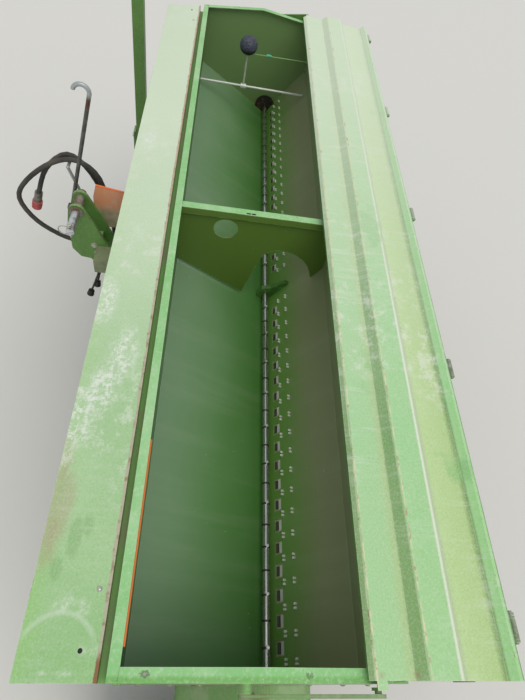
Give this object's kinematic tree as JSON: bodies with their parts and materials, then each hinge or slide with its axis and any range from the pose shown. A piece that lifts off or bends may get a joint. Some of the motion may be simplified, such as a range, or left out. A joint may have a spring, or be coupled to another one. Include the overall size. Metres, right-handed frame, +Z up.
{
  "type": "mounted seed drill",
  "caption": "Tractor-mounted seed drill with a long open seed hopper, bi-fold lid, agitator, metering units, seed tubes, coulters, harrow, land wheels and a folded marker arm",
  "frame": {"origin": "on the floor, in the middle of the machine's box", "axes": "+X to the machine's right, +Y forward to the tractor, +Z up"},
  "size_m": [2.93, 1.7929, 2.1763],
  "materials": {
    "black_metal": "matt",
    "black_plastic": "matt",
    "cream_plastic": "matt, dusty",
    "green_paint": "worn gloss",
    "hose_rubber": "matt",
    "orange_paint": "worn gloss",
    "red_plastic": "gloss",
    "tyre_rubber": "matt, dusty",
    "worn_steel": "dull, spotted with rust"
  },
  "bodies": {
    "drill": {"hopper_front_wall": "green_paint", "hopper_front_slope": "green_paint", "hopper_rear_slope": "green_paint", "hopper_rear_wall": "green_paint", "hopper_end_left": "green_paint", "hopper_end_right": "green_paint", "hopper_divider": "green_paint", "front_shelf": "green_paint", "shelf_braces": "green_paint", "lid_hinge_brackets": "green_paint", "agitator_bearings": "black_metal", "metering_units": "cream_plastic", "metering_bearings": "green_paint", "seed_funnels": "black_plastic", "seed_tubes": "black_plastic", "level_gauge": "black_metal", "main_beam": "green_paint", "side_plate_left": "green_paint", "side_plate_right": "green_paint", "hopper_saddles": "green_paint", "axle_stubs": "worn_steel", "mast": "green_paint", "top_link_pin": "worn_steel", "lower_hitch_left": "green_paint", "lower_hitch_right": "green_paint", "coulter_rail": "green_paint", "coulters": "green_paint", "pressure_shaft": "green_paint", "coulter_springs": "worn_steel", "harrow_arms": "green_paint", "harrow": "black_metal", "loading_step": "orange_paint", "gearbox": "green_paint", "chain_guard": "green_paint", "stand_sleeves": "green_paint", "marker_bracket": "green_paint", "hose_holder": "worn_steel", "hose_plate": "orange_paint", "hose_block": "cream_plastic", "hose_long": "hose_rubber", "hose_short": "hose_rubber", "hose_coupler": "red_plastic"},
    "wheel_left": {"wheel_rim_left": "orange_paint", "tyre_left": "tyre_rubber"},
    "wheel_right": {"wheel_rim_right": "orange_paint", "tyre_right": "tyre_rubber"},
    "lid_rear": {"lid_rear_leaf": "green_paint"},
    "lid_front": {"lid_front_leaf": "green_paint", "lid_front_edge": "green_paint", "lid_lugs": "green_paint"},
    "lid_arm_l": {"lid_arm_left": "green_paint"},
    "lid_arm_r": {"lid_arm_right": "green_paint"},
    "agitator": {"agitator_shaft": "worn_steel"},
    "metering": {"metering_shaft": "worn_steel"},
    "stand_l": {"stand_left": "worn_steel"},
    "stand_r": {"stand_right": "worn_steel"},
    "marker": {"marker_arm": "green_paint"},
    "disc": {"marker_disc": "worn_steel"},
    "barrel": {"marker_barrel": "green_paint"},
    "rod": {"marker_rod": "worn_steel"}
  },
  "joints": [
    {"name": "wheel_left_turn", "type": "hinge", "parent": "drill", "child": "wheel_left", "pos_m": [-1.38, 0.2, 0.37], "axis": [1, 0, 0], "continuous": true},
    {"name": "wheel_right_turn", "type": "hinge", "parent": "drill", "child": "wheel_right", "pos_m": [1.38, 0.2, 0.37], "axis": [1, 0, 0], "continuous": true},
    {"name": "lid_turn", "type": "hinge", "parent": "drill", "child": "lid_rear", "pos_m": [0, -0.1125, 1.39], "axis": [1, 0, 0], "range_deg": [-168.25, 0]},
    {"name": "lid_fold", "type": "hinge", "parent": "lid_rear", "child": "lid_front", "pos_m": [0, -0.342, 1.402], "axis": [1, 0, 0], "range_deg": [0, 158.87]},
    {"name": "lid_arm_left_turn", "type": "hinge", "parent": "drill", "child": "lid_arm_l", "pos_m": [-1.263, 0.1648, 1.36], "axis": [1, 0, 0], "range_deg": [-166.66, 0]},
    {"name": "lid_arm_right_turn", "type": "hinge", "parent": "drill", "child": "lid_arm_r", "pos_m": [1.263, 0.1648, 1.36], "axis": [1, 0, 0], "range_deg": [-166.66, 0]},
    {"name": "metering_turn", "type": "hinge", "parent": "drill", "child": "metering", "pos_m": [0, -0.00836, 0.95553], "axis": [1, 0, 0], "continuous": true},
    {"name": "agitator_turn", "type": "hinge", "parent": "drill", "child": "agitator", "pos_m": [0, 0.06, 0.976], "axis": [1, 0, 0], "continuous": true},
    {"name": "stand_left_slide", "type": "slide", "parent": "drill", "child": "stand_l", "axis": [0, 0, 1], "range_m": [0, 0.3]},
    {"name": "stand_right_slide", "type": "slide", "parent": "drill", "child": "stand_r", "axis": [0, 0, 1], "range_m": [0, 0.3]},
    {"name": "marker_fold", "type": "hinge", "parent": "drill", "child": "marker", "pos_m": [1.2, 0.68, 0.72], "axis": [0, 1, 0], "range_deg": [0, 112]},
    {"name": "marker_disc_turn", "type": "hinge", "parent": "marker", "child": "disc", "pos_m": [1.2, 0.68, 2.14], "axis": [0, 0, 1], "continuous": true},
    {"name": "marker_barrel_turn", "type": "hinge", "parent": "drill", "child": "barrel", "pos_m": [1.06, 0.61, 0.64], "axis": [0, 1, 0], "range_deg": [0, 34.7]},
    {"name": "marker_rod_slide", "type": "slide", "parent": "barrel", "child": "rod", "axis": [0.5874, 0, 0.8093], "range_m": [0, 0.0416]}
  ],
  "couplings": [
    {"joint": "lid_fold", "follows": "lid_turn", "ratio": -0.94413},
    {"joint": "lid_arm_left_turn", "follows": "lid_turn", "ratio": 0.99041},
    {"joint": "lid_arm_right_turn", "follows": "lid_turn", "ratio": 0.99041},
    {"joint": "agitator_turn", "follows": "metering_turn", "ratio": 0.6},
    {"joint": "marker_barrel_turn", "follows": "marker_fold", "ratio": 0.30967},
    {"joint": "marker_rod_slide", "follows": "marker_fold", "m_per_rad": 0.021159}
  ]
}
